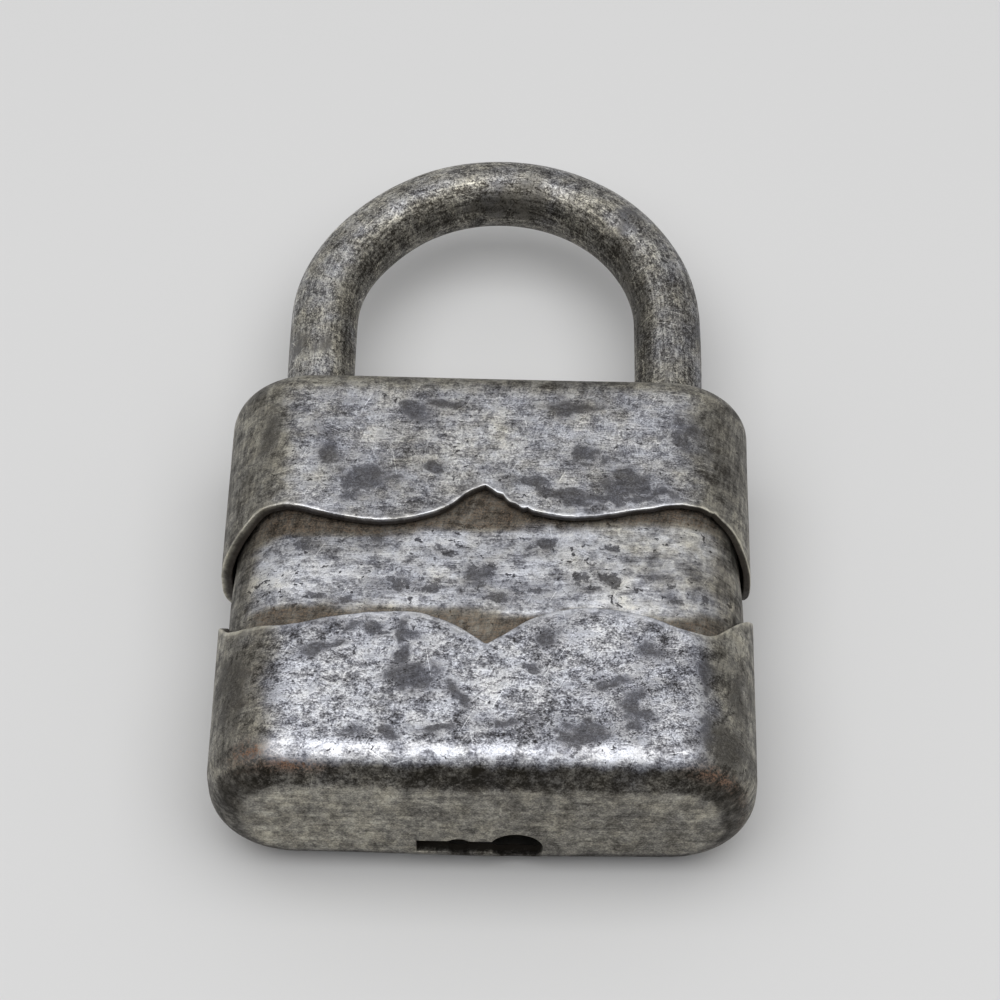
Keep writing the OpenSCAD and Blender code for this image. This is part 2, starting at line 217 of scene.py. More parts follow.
def new_object(name, verts, faces):
    """A mesh object in the scene, from points in millimetres."""
    me = bpy.data.meshes.new(name)
    me.from_pydata((np.asarray(verts) * MM).tolist(), [], faces)
    o = bpy.data.objects.new(name, me)
    bpy.context.scene.collection.objects.link(o)
    bm = bmesh.new()
    bm.from_mesh(me)
    bmesh.ops.remove_doubles(bm, verts=bm.verts, dist=WELD)
    bmesh.ops.dissolve_degenerate(bm, edges=bm.edges, dist=SLIVER)
    bmesh.ops.recalc_face_normals(bm, faces=bm.faces)
    bm.to_mesh(me)
    bm.free()
    return o


def grid_faces(rows, cols):
    """Quads between successive rows of points, each row a closed loop."""
    faces = []
    for r in range(rows - 1):
        a, b = r * cols, (r + 1) * cols
        for c in range(cols):
            d = (c + 1) % cols
            faces.append((a + c, a + d, b + d, b + c))
    return faces


MESH_STEP = 0.34  # between points round a drawn piece
ROWS_OUT = 16, 19, 48  # loops on its end, fold and skirt
ROWS_IN = 7, 9, 12  # the same, inside
LIP = 0.14  # the rounding of its cut edge
CHAMFER = 0.1  # the edge's inner side


def drawn(name, out, wall, edge, height, dent, end_r=END_R, flat=None):
    """A drawn sheet piece: an end, a round fold and a skirt of length edge(p).

    out is the outer face's inset from the body's outline, wall the sheet's
    thickness and end_r the fold's radius. height(h) gives Y, dent(points) is the
    depth of the outer face's unevenness, and flat(p) shortens the fold along the
    lock.
    """
    n = 2 * int(round(HALF / MESH_STEP))
    p = -HALF + np.arange(n) * 2 * HALF / n
    centre, away = outline(p)
    full = edge(p)
    lean = np.sqrt(1 + np.gradient(full, p) ** 2)
    rows = []

    def row(inset, h, nx=0, ny=0):
        """One loop at an inset. On the outer face, nx and ny are its normal across and along."""
        inset = np.broadcast_to(np.asarray(inset, float), p.shape)
        h = np.broadcast_to(np.asarray(h, float), p.shape)
        xz = centre + (CORNER_R - inset)[:, None] * away
        lim_x = np.clip(WIDTH / 2 - inset, 0, None)
        lim_z = np.clip(DEPTH / 2 - inset, 0, None)
        x = np.clip(xz[:, 0], -lim_x, lim_x)
        z = MID_Z + np.clip(xz[:, 1] - MID_Z, -lim_z, lim_z)
        pts = np.stack([x, height(h), z], -1)
        if nx or ny:
            d = dent(pts)
            along = np.sign(height(1.0) - height(0.0))
            pts[:, 0] -= d * nx * away[:, 0]
            pts[:, 2] -= d * nx * away[:, 1]
            pts[:, 1] += d * ny * along
        rows.append(pts)

    # Outside: the end, the fold, the skirt and its rounded edge
    on_end, on_fold, on_skirt = ROWS_OUT
    r = end_r - out
    fold = r * flat(p) if flat else r
    for i in np.linspace(DEPTH / 2, end_r, on_end):
        row(i, out, 0, 1)
    for t in np.linspace(0, 1, on_fold)[1:]:
        a = t * math.pi / 2
        row(out + r * (1 - math.sin(a)), out + fold * (1 - math.cos(a)), math.sin(a), math.cos(a))
    reach = full - LIP * lean
    for t in np.linspace(0, 1, on_skirt)[1:]:
        row(out, out + fold + (reach - out - fold) * t, 1, 0)
    for t in (0.25, 0.5, 0.75, 1.0):
        a = t * math.pi / 2
        row(out + LIP * (1 - math.cos(a)), reach + LIP * lean * math.sin(a), 1, 0)

    # The cut through the sheet, then the inside back to the end
    on_end, on_fold, on_skirt = ROWS_IN
    row(out + (LIP + wall) / 2, full)
    row(out + wall - CHAMFER, full - CHAMFER / 10)
    row(out + wall, full - CHAMFER)
    for t in np.linspace(0, 1, on_skirt)[1:]:
        row(out + wall, full - CHAMFER - (full - CHAMFER - end_r) * t)
    r -= wall
    for t in np.linspace(0, 1, on_fold)[1:]:
        a = (1 - t) * math.pi / 2
        row(out + wall + r * (1 - math.sin(a)), out + wall + r * (1 - math.cos(a)))
    for i in np.linspace(end_r, DEPTH / 2, on_end)[1:]:
        row(i, out + wall)
    return new_object(name, np.concatenate(rows), grid_faces(len(rows), n))


def tube(name, loops):
    """A closed tube through loops of points, with flat ends."""
    n = len(loops[0])
    faces = grid_faces(len(loops), n)
    faces.append(tuple(range(n - 1, -1, -1)))
    faces.append(tuple((len(loops) - 1) * n + k for k in range(n)))
    return new_object(name, np.concatenate(loops), faces)


def carve(piece, *cutters):
    """Cuts the cutters out of the piece."""
    for c in cutters:
        mod = piece.modifiers.new("cut", "BOOLEAN")
        mod.operation = "DIFFERENCE"
        mod.solver = "EXACT"
        mod.object = c
    bpy.context.view_layer.update()
    deps = bpy.context.evaluated_depsgraph_get()
    me = bpy.data.meshes.new_from_object(piece.evaluated_get(deps))
    old = piece.data
    piece.modifiers.clear()
    piece.data = me
    bpy.data.meshes.remove(old)
    me.name = piece.name
    for c in cutters:
        bpy.data.meshes.remove(c.data)


SHARP = math.radians(32)


def shade(piece):
    """Smooth shading, with sharp edges where faces meet at more than the sharp angle."""
    me = piece.data
    me.polygons.foreach_set("use_smooth", [True] * len(me.polygons))
    me.set_sharp_from_angle(angle=SHARP)
    me.update()


def block(name, lo, hi):
    """A box between two corners."""
    v = [(x, y, z) for x in (lo[0], hi[0]) for y in (lo[1], hi[1]) for z in (lo[2], hi[2])]
    f = [(0, 1, 3, 2), (4, 6, 7, 5), (0, 4, 5, 1), (2, 3, 7, 6), (0, 2, 6, 4), (1, 5, 7, 3)]
    return new_object(name, v, f)


# Unevenness of the outer faces: how far each point lies in

def cap_dent(seed, lean, swell):
    """A cap's unevenness.

    lean pushes the outer face out on the left and in on the right, and swell
    pushes out the surround of the keyhole.
    """
    def dent(pts):
        d = 0.05 + 0.05 * cloud(pts, 13.0, seed) + 0.02 * cloud(pts, 5.0, seed + 4)
        d = np.clip(d, 0.0, 0.14) + lean * pts[:, 0] / 30 * smooth(1, 7, pts[:, 2])
        near = np.exp(-((pts[:, 0] / 11) ** 2) - (((pts[:, 2] - 4.0) / 5) ** 2))
        return d - swell * near * (pts[:, 1] < END_Y + 6) * smooth(0.4, 3, pts[:, 2])
    return dent


def case_dent(pts):
    """The band lies deeper beside the upper cap than beside the lower one, and is proud over the heel pin's ends."""
    gap = 0.3 * smooth(26, 33, pts[:, 1] - END_Y)
    pin = np.exp(-(((pts[:, 0] - PIN_X) / 2.2) ** 2) - (((pts[:, 1] - PIN_Y) / 2.2) ** 2))
    d = 0.03 + gap + 0.04 * (1 + cloud(pts, 11.0, 9.0))
    return np.clip(d - 0.2 * pin, -0.03, 0.5)


def low_fold(p):
    """The lower cap's front fold is shorter along the lock than it is deep."""
    return 1 - (1 - FLAT) * (1 - smooth(STRAIGHT - 2, STRAIGHT + 6, np.abs(p)))


def from_bottom(h):
    """Y at a distance from the lower end."""
    return END_Y + h


def from_top(h):
    """Y at a distance from the upper end."""
    return TOP_Y - h


def keyhole_outline(grow):
    """The keyhole's outline in X and Z, grown by a margin: the slot with its wider place, then the round."""
    r, half = KEY_R + grow, SLOT_HALF + grow
    joint = math.asin(half / r)
    turn = np.linspace(joint, math.pi, 36)
    marks = (SLOT_X - grow, WIDE_X - WIDE_HALF, WIDE_X + WIDE_HALF, KEY_X - r * math.cos(joint))
    x = [np.full(5, marks[0])]
    x += [np.linspace(lo, hi, k)[1:] for lo, hi, k in zip(marks, marks[1:], (12, 15, 8), strict=False)]
    x = np.concatenate(x)
    # The wider place is a flat-topped swell
    rise = half + (WIDE_R - SLOT_HALF + 0.1) * np.exp(-(((x - WIDE_X) / 0.9) ** 4))
    rise[:5] *= np.linspace(0, 1, 5)
    x = np.concatenate([x, KEY_X - r * np.cos(turn[1:])])
    rise = np.concatenate([rise, r * np.sin(turn[1:])])
    top = np.stack([x, KEY_Z + rise], -1)
    low = np.stack([x, KEY_Z - rise], -1)[::-1][1:-1]
    return np.concatenate([top, low])


def end_sink(z):
    """How far the body's rounded end lies in from its flat at Z."""
    inset = np.minimum(z, DEPTH - z)
    deep = END_R - np.sqrt(np.clip(END_R**2 - np.clip(END_R - inset, 0, END_R) ** 2, 0, None))
    return deep * np.where(z > MID_Z, FLAT, 1.0)


PROUD, THROUGH = 1.0, 3.0  # how far a cutter stands out, and how deep it goes through sheet


def rounded(mouth, degrees):
    """How far out and how far in a hole's rounded mouth reaches, at each angle of its quarter round."""
    return [(mouth * (1 - math.sin(a)), mouth * (1 - math.cos(a))) for a in np.radians(degrees)]


def keyhole_cutter():
    """The keyhole's cutter, whose rounded mouth follows the cap's rounded end."""
    mouth, start, sunk = 0.32, 0.13, 0.2
    levels = [(mouth + start, END_Y - PROUD)]
    for grow, deep in rounded(mouth, (18, 36, 54, 72, 90)):
        z = np.clip(keyhole_outline(grow)[:, 1], 0.6, None)
        levels.append((grow, END_Y + deep + end_sink(z) - sunk))
    levels.append((0.0, END_Y + THROUGH))
    loops = []
    for grow, y in levels:
        x, z = keyhole_outline(grow).T
        loops.append(np.stack([x, 0 * x + y, z], -1))
    return tube("cutter", loops)


def around(n):
    """n angles round a circle."""
    return np.linspace(0, 2 * math.pi, n + 1)[:-1]


def circle(x, r, y, n):
    """A loop of n points about an axis along Y, in the middle of the body's depth."""
    a = around(n)
    return np.stack([x + r * np.cos(a), 0 * a + y, MID_Z + r * np.sin(a)], -1)


def leg_holes(y_out, mouth):
    """Cutters for both leg holes, with rounded mouths at y_out."""
    levels = [(mouth + 0.1, y_out + PROUD)]
    levels += [(grow, y_out - deep) for grow, deep in rounded(mouth, (18, 40, 65, 90))]
    levels += [(0.0, y_out - THROUGH)]
    return [tube("cutter", [circle(x, HOLE_R + grow, y, 96) for grow, y in levels]) for x in (-LEG_X, LEG_X)]


bottom_cap = drawn("lower_cap_worn", 0.0, CAP_T, bottom_skirt, from_bottom, cap_dent(1.0, 0.03, 0.3), flat=low_fold)
carve(bottom_cap, keyhole_cutter())

top_cap = drawn("upper_cap_worn", 0.0, CAP_T, top_skirt, from_top, cap_dent(5.0, 0.22, 0.0), end_r=TOP_END_R)
carve(top_cap, *leg_holes(TOP_Y, 0.4))

CASE_L = TOP_Y - END_Y - CASE_FOOT
mid_case = drawn("case_band_worn", CASE_OUT, CASE_T, lambda p: CASE_L + 0 * p, from_top, case_dent)
carve(mid_case, *leg_holes(TOP_Y - CASE_OUT, 0.2))

# ---------------------------------------------------------------- shackle

PLATE_Y = TOP_Y - CASE_OUT - CASE_T  # the case's end, inside
BOLT_HI = PLATE_Y - SEAT - PLATE_T - LOOSE
BOLT_LO = BOLT_HI - BOLT_T
ARCH_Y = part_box("shackle")[1][1] / MM - LEG_X - BAR_R
HEEL_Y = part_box("shackle")[0][1] / MM
TOE_Y = TOP_Y - TOE_DEPTH
RING_Y = HEEL_Y + HEEL_FOOT


def arch_radius(t):
    """The arch isn't quite round: at angle t from the left leg, it swells past the crown and is drawn in before it."""
    return LEG_X + 0.2 * bell(t, 1.95, 0.6) - 0.45 * bell(t, 0.72, 0.4)


def splay(x, y):
    """The right leg stands out a little, down to its hole; inside the body it is straight, to pass the plate."""
    return SPLAY * smooth(12, 21, x) * smooth(ARCH_Y + 12, ARCH_Y - 8, y) * smooth(PLATE_Y, TOP_Y, y)


def shackle_bar():
    """The bent bar, from the heel over the arch to the toe, with bevelled ends."""
    step = 0.42
    n = int(math.pi * LEG_X / step)
    along = [(-LEG_X, y, 0.0) for y in np.arange(HEEL_Y + BEVEL, ARCH_Y, step)]
    for t in np.linspace(0, math.pi, n + 1):
        r = arch_radius(t)
        along.append((-r * math.cos(t), ARCH_Y + r * math.sin(t), t))
    along += [(LEG_X, y, math.pi) for y in np.arange(ARCH_Y, TOE_Y + BEVEL, -step)[1:]]
    along.append((LEG_X, TOE_Y + BEVEL, math.pi))
    along = [(x + splay(x, y), y, t) for x, y, t in along]
    a = around(72)
    loops = []
    last = len(along) - 1
    for k, (x, y, t) in enumerate(along):
        core = np.array([x, y, MID_Z])
        out = np.array([-math.cos(t), math.sin(t), 0.0])
        ring = np.cos(a)[:, None] * out + np.sin(a)[:, None] * np.array([0, 0, 1.0])
        pts = core + BAR_R * ring
        worn = 0.025 + 0.025 * cloud(pts, 6.0, 2.0) + 0.012 * cloud(pts, 2.4, 6.0)
        if 0 < t < math.pi:
            worn = worn + 0.16 * bell(t, 1.7, 0.5) * smooth(0.55, 1.0, -np.cos(a))
        pts = core + (BAR_R - worn)[:, None] * ring
        if k in (0, last):
            down = np.array([0, -1.0, 0])
            face = [core + down * BEVEL + (BAR_R - BEVEL) * f * ring for f in (0.25, 0.7)]
            bevel = [(core + down * BEVEL * f + (BAR_R - worn - BEVEL * f)[:, None] * ring) for f in (1.0, 0.5)]
            end = face + bevel
            loops += end + [pts] if k == 0 else [pts] + end[::-1]
        else:
            loops.append(pts)
    return tube("shackle_worn", loops)


def groove_cutter():
    """A ring round the long leg that leaves the groove's core."""
    y0, y1 = RING_Y, RING_Y + RING_W
    ring = tube("cutter", [circle(-LEG_X, BAR_R + PROUD, y, 64) for y in (y0, y1)])
    carve(ring, tube("core", [circle(-LEG_X, BAR_R - GROOVE, y, 64) for y in (y0 - PROUD, y1 + PROUD)]))
    return ring


shackle = shackle_bar()
toe_x = LEG_X - BAR_R
flat_x = -LEG_X + BAR_R - GROOVE
carve(shackle,
      block("cutter", (toe_x - PROUD, BOLT_LO - LOOSE, -PROUD), (toe_x + NOTCH, BOLT_HI + LOOSE, DEPTH + PROUD)),
      block("cutter", (flat_x, RING_Y + RING_W / 2, -PROUD), (0, PIN_Y + RING_W / 2, DEPTH + PROUD)),
      groove_cutter())

# ---------------------------------------------------------------- wear masks on the meshes

# What worn_steel reads at each point, from 0 to about 1
MASKS = (
    "rim",  # beside the cut edge
    "cut",  # the sheet's thickness and back
    "wear",  # bare metal, with painted highlights and painted shade
    "film",  # a thin dirty film, with painted shade
    "rust",  # rusty spots
    "end",  # the dull flat end
    "dirt",  # patches of old dirt
    "calm",  # less grit
)


def set_masks(piece, **values):
    """Writes every mask on a piece; those that aren't given are zero."""
    none = np.zeros(len(piece.data.vertices), np.float32)
    for name in MASKS:
        layer = piece.data.attributes.new(name, "FLOAT", "POINT")
        layer.data.foreach_set("value", np.asarray(values.get(name, none), np.float32))


def points_of(piece):
    """A piece's points in millimetres."""
    co = np.zeros(len(piece.data.vertices) * 3)
    piece.data.vertices.foreach_get("co", co)
    return co.reshape(-1, 3) / MM


def inset_of(v):
    """How far points lie in from the body's outline."""
    dx = np.abs(v[:, 0]) - STRAIGHT
    dz = np.abs(v[:, 2] - MID_Z) - SIDE / 2
    return CORNER_R - np.hypot(np.clip(dx, 0, None), np.clip(dz, 0, None)) - np.minimum(np.maximum(dx, dz), 0)


def depth_in(v, h, end_r):
    """How far points lie inside the body's outer form."""
    u = inset_of(v)
    corner = end_r - np.hypot(np.clip(end_r - u, 0, None), np.clip(end_r - h, 0, None))
    return np.where((u < end_r) & (h < end_r), corner, np.minimum(u, h))


# Old dirt on the fronts: X, Y, half its width and height, its lean in degrees and its strength
LOW_SPOTS = [(-8.2, -34.9, 2.6, 1.6, 8, 1.0), (-9.2, -32.4, 0.8, 1.6, 10, 0.9), (-8.6, -29, 2.0, 1.1, -35, 0.8),
             (-2.6, -37.8, 0.9, 2.2, 35, 0.8), (5, -33.2, 1.3, 0.9, 0, 0.7), (7, -29.5, 1.7, 1.3, 20, 0.6),
             (10.8, -42.2, 3.2, 1.8, 0, 0.85), (16.6, -38.3, 1.7, 3.4, 0, 0.65), (13.4, -35.4, 2.4, 1.0, 0, 0.6),
             (18.6, -31, 2.3, 1.4, 0, 0.55), (23.8, -33.6, 0.8, 2.8, 0, 0.7), (25.8, -41.6, 2.8, 2.6, 0, 0.8),
             (-18, -31.6, 3.4, 1.0, 22, 0.65), (-13.6, -28.9, 2.6, 0.8, 12, 0.65), (-9.4, -41.9, 2.0, 1.3, 0, 0.65),
             (-4, -41.2, 2.6, 0.9, 0, 0.6), (3, -40.6, 3.2, 0.8, 0, 0.6), (-14.2, -42.6, 2.6, 1.2, 0, 0.6),
             (-27.6, -35.5, 1.4, 5.0, 0, 0.75), (27.8, -34.5, 1.3, 4.5, 0, 0.65)]
TOP_SPOTS = [(15.4, -8.6, 3.0, 1.5, 0, 1.0), (4.6, -8.8, 2.4, 0.9, -8, 0.8), (8, -10.6, 2.8, 0.9, -8, 0.95),
             (12.2, -11.1, 3.0, 0.8, 0, 0.95), (17.2, -10.5, 2.8, 0.7, 5, 0.8), (9, 1.9, 2.8, 1.1, 0, 0.8),
             (-4, 2.0, 4.2, 0.7, 0, 0.6), (-5.5, -7, 1.2, 0.9, 0, 0.9), (-14.6, -8.6, 3.8, 2.2, 0, 0.65),
             (-17.6, -4.4, 1.5, 2.2, 0, 0.65), (10.3, -4.8, 1.4, 1.6, 0, 0.8), (12.8, -5.8, 2.0, 0.7, 0, 0.6),
             (-8.4, 0.6, 2.8, 1.4, 0, 0.65), (22.6, -1.4, 1.7, 3.2, 0, 0.6), (-24.6, -1.6, 1.1, 3.8, -8, 0.6)]
BAND_SPOTS = [(6.7, -16.3, 1.3, 1.1, 0, 0.8), (-0.5, -20.5, 1.7, 1.9, 0, 0.7), (-8.2, -22, 4.2, 1.5, 0, 0.65),
              (-19.6, -16.6, 2.3, 1.2, 0, 0.65), (-12.6, -15.9, 1.4, 1.1, 0, 0.7), (12.6, -20.3, 1.3, 0.6, 0, 0.85),
              (13.2, -21.4, 1.1, 0.5, -20, 0.85), (4, -22.4, 2.6, 0.9, 0, 0.6), (10, -21.1, 1.7, 0.9, 0, 0.6),
              (0, -24, 3.4, 0.7, 0, 0.6), (-17, -24, 3.2, 0.8, 0, 0.6), (-4, -17.6, 2.0, 0.9, 0, 0.6),
              (18.4, -20.6, 0.8, 0.7, 0, 0.7), (20.6, -21.2, 0.8, 0.6, 0, 0.7), (21.2, -23.4, 0.9, 0.8, 0, 0.7),
              (14.4, -17, 0.7, 0.5, 0, 0.7), (24.6, -22.4, 1.0, 1.2, 0, 0.7)]


def dirt_on(v, spots, seed):
    """How much old dirt is left, round the spots on the front and round scattered ones elsewhere."""
    total = np.zeros(len(v))
    front = smooth(MID_Z - 2, MID_Z + 6, v[:, 2])
    at_x = v[:, 0] + 1.1 * cloud(v, 2.1, seed) + 0.5 * cloud(v, 0.9, seed + 5)
    at_y = v[:, 1] + 0.8 * cloud(v, 1.9, seed + 9) + 0.4 * cloud(v, 0.8, seed + 13)
    rng = np.random.default_rng(seed)
    low, high = v[:, 1].min(), v[:, 1].max()
    rest = []
    for _ in range(16):
        place = rng.uniform(-27, 27), rng.uniform(low, high)
        size = rng.uniform(1, 3), rng.uniform(0.8, 2)
        rest.append((*place, *size, 0, rng.uniform(0.5, 1)))
    for group, share in ((spots, front), (rest, 1 - front)):
        for x, y, wide, tall, lean, strength in group:
            c, s = math.cos(math.radians(lean)), math.sin(math.radians(lean))
            dx, dy = at_x - x, at_y - y
            r = ((dx * c + dy * s) / wide) ** 2 + ((dy * c - dx * s) / tall) ** 2
            total = np.maximum(total, share * strength * np.exp(-0.8 * r))
    return total


# Rust on the lower cap's front fold: X, its place round the fold in degrees, and both half widths
RUST_PATCHES = ((-24.8, 22, 2.0, 13), (-20, 42, 3.4, 9), (25, 42, 2.6, 10))


def cap_masks(piece, edge, upper):
    """A cap is dirtiest at its sides; on the lower one, its front fold has a painted highlight along its crest and
    painted shade beside the end.
    """
    v = points_of(piece)
    h = (TOP_Y - v[:, 1]) if upper else (v[:, 1] - END_Y)
    end_r = TOP_END_R if upper else END_R
    p = round_from_front(v[:, 0], v[:, 2])
    near = edge(p) - h
    ragged = cloud(v, 1.3, 2.0) + 0.6 * cloud(v, 0.5, 5.0)
    rim = 1 - smooth(0.25, 0.85 if upper else 1.2, near + 0.25 * ragged)
    cut = smooth(0.1, 0.3, depth_in(v, h, end_r) - 0.12)
    side = smooth(21.0, 26.5, np.abs(v[:, 0]) + 1.6 * cloud(v, 6.0, 8.0))
    # turn is the angle round the fold: 0 on the front, 90 on the end
    long = end_r * (1 if upper else low_fold(p))
    inset = np.clip(inset_of(v), 0, end_r)
    turn = np.degrees(np.arctan2(1 - np.clip(h, 0, long) / long, np.clip(1 - inset / end_r, 1e-6, None)))
    end = smooth(69, 88, turn + 2 * ragged)
    calm, rust = 0 * h, 0 * h
    if upper:
        wear = 0.54 - 0.13 * side - 0.05 * (1 - smooth(1.2, 3.4, h)) + 0.05 * bell(h, 10, 5) * (1 - side)
        film = 0.38 + 0.7 * side + 0.5 * (1 - smooth(1, 5, h))
    else:
        # Painted highlight: brighter, calmer bare steel along the crest of the lower cap's front fold
        crest_highlight = smooth(0, 8, turn) * (1 - smooth(28, 42, turn + 3 * ragged)) * (1 - 0.6 * side)
        # Painted shade: darker, filmier steel along the fold beside the end
        fold = smooth(32, 48, turn + 4 * ragged) * (1 - end)
        calm = 0.5 * crest_highlight
        wear = 0.54 - 0.15 * side + 0.09 * crest_highlight - 0.5 * fold - 0.1 * end
        film = 0.05 + 0.95 * side + 0.8 * fold + 0.95 * end
        for x, at, wide, high in RUST_PATCHES:
            rust += 1.2 * bell(v[:, 0], x, wide) * bell(turn, at, high)
    dirt = dirt_on(v, TOP_SPOTS if upper else LOW_SPOTS, 5 if upper else 6) * (1 - end)
    set_masks(piece, rim=rim, cut=cut, wear=wear, film=film, rust=rust, end=end, dirt=dirt, calm=calm)


cap_masks(bottom_cap, bottom_skirt, False)
cap_masks(top_cap, top_skirt, True)

# Painted highlights on the band's rubbed front: X, Y and both half widths
BAND_HIGHLIGHTS = ((13, -25.4, 7, 0.9), (-12.5, -25.2, 4, 0.8), (-9, -15.4, 4.5, 0.7), (7, -14.9, 6, 0.7))


def band_masks(piece):
    """The band is bright only where a flat thing rubs between the caps, with painted highlights within that; brown
    dirt lies beside their edges.
    """
    v = points_of(piece)
    p = round_from_front(v[:, 0], v[:, 2])
    h = v[:, 1] - END_Y
    low = h - bottom_skirt(p)
    high = (TOP_Y - END_Y) - top_skirt(p) - h
    streak = cloud(v * (0.16, 1.0, 0.16), 0.8, 1.0) + 0.5 * cloud(v * (0.3, 1.0, 0.3), 0.35, 6.0)
    side = smooth(24.0, 28.0, np.abs(v[:, 0]) + 1.0 * cloud(v, 3.0, 8.0))
    right = smooth(2, 22, v[:, 0])
    lower = 20.9 - 0.04 * v[:, 0] + 1.6 * smooth(20, 26, v[:, 0])
    upper = 32.4 + 0.05 * v[:, 0]
    rubbed = smooth(-0.5, 0.5, h - lower + 0.5 * streak) * (1 - smooth(-0.5, 0.5, h - upper + 0.4 * streak))
    tight = smooth(0.15, 0.6, np.minimum(low, high) + 0.2 * streak)
    bare = rubbed * tight * (1 - side)
    # Painted highlights on the rubbed part of the band
    painted_highlight = 0 * h
    for x, y, wide, tall in BAND_HIGHLIGHTS:
        painted_highlight += bell(v[:, 0], x, wide) * bell(v[:, 1], y, tall) * smooth(MID_Z, MID_Z + 6, v[:, 2])
    set_masks(piece,
              cut=smooth(1.6, 2.0, depth_in(v, TOP_Y - v[:, 1], END_R)),
              wear=0.29 + 0.375 * bare + 0.2 * painted_highlight * bare,
              film=1 - 0.78 * bare + 0.25 * right * bare,
              rust=0.8 * (1 - bare) * (1 - side),
              dirt=dirt_on(v, BAND_SPOTS, 7),
              calm=0.4 * right)


band_masks(mid_case)


def bar_masks(piece):
    """The bar is barest in front, has painted shade inside the loop and grows darker towards the right; flow is each
    point's place along the bent bar and out from it.
    """
    v = points_of(piece)
    arch = v[:, 1] > ARCH_Y
    right = v[:, 0] > 0
    rad = np.where(arch, np.hypot(v[:, 0], v[:, 1] - ARCH_Y), np.abs(v[:, 0]))
    turn = np.where(arch, np.arctan2(v[:, 1] - ARCH_Y, v[:, 0]), 0)
    leg = np.where(right, v[:, 1] - ARCH_Y, math.pi * LEG_X + ARCH_Y - v[:, 1])
    s = np.where(arch, turn * LEG_X, leg)
    flow = np.stack([s, rad - LEG_X, v[:, 2] - MID_Z], -1)
    layer = piece.data.attributes.new("flow", "FLOAT_VECTOR", "POINT")
    layer.data.foreach_set("vector", flow.astype(np.float32).ravel())
    inner_shade = smooth(0.2, 0.6, (LEG_X - rad) / BAR_R + 0.12 * cloud(v, 2.0, 3.0))
    front = smooth(0.2, 1.0, (v[:, 2] - MID_Z) / BAR_R)
    set_masks(piece,
              # Painted shade: darker, filmier steel inside the loop; the bar also darkens towards the right
              wear=0.43 + 0.045 * front - 0.15 * inner_shade - 0.055 * v[:, 0] / LEG_X,
              film=0.6 + 0.3 * inner_shade,
              dirt=0.45 * smooth(0.1, 0.6, cloud(v, 4.0, 9.0)))


bar_masks(shackle)

# ---------------------------------------------------------------- materials


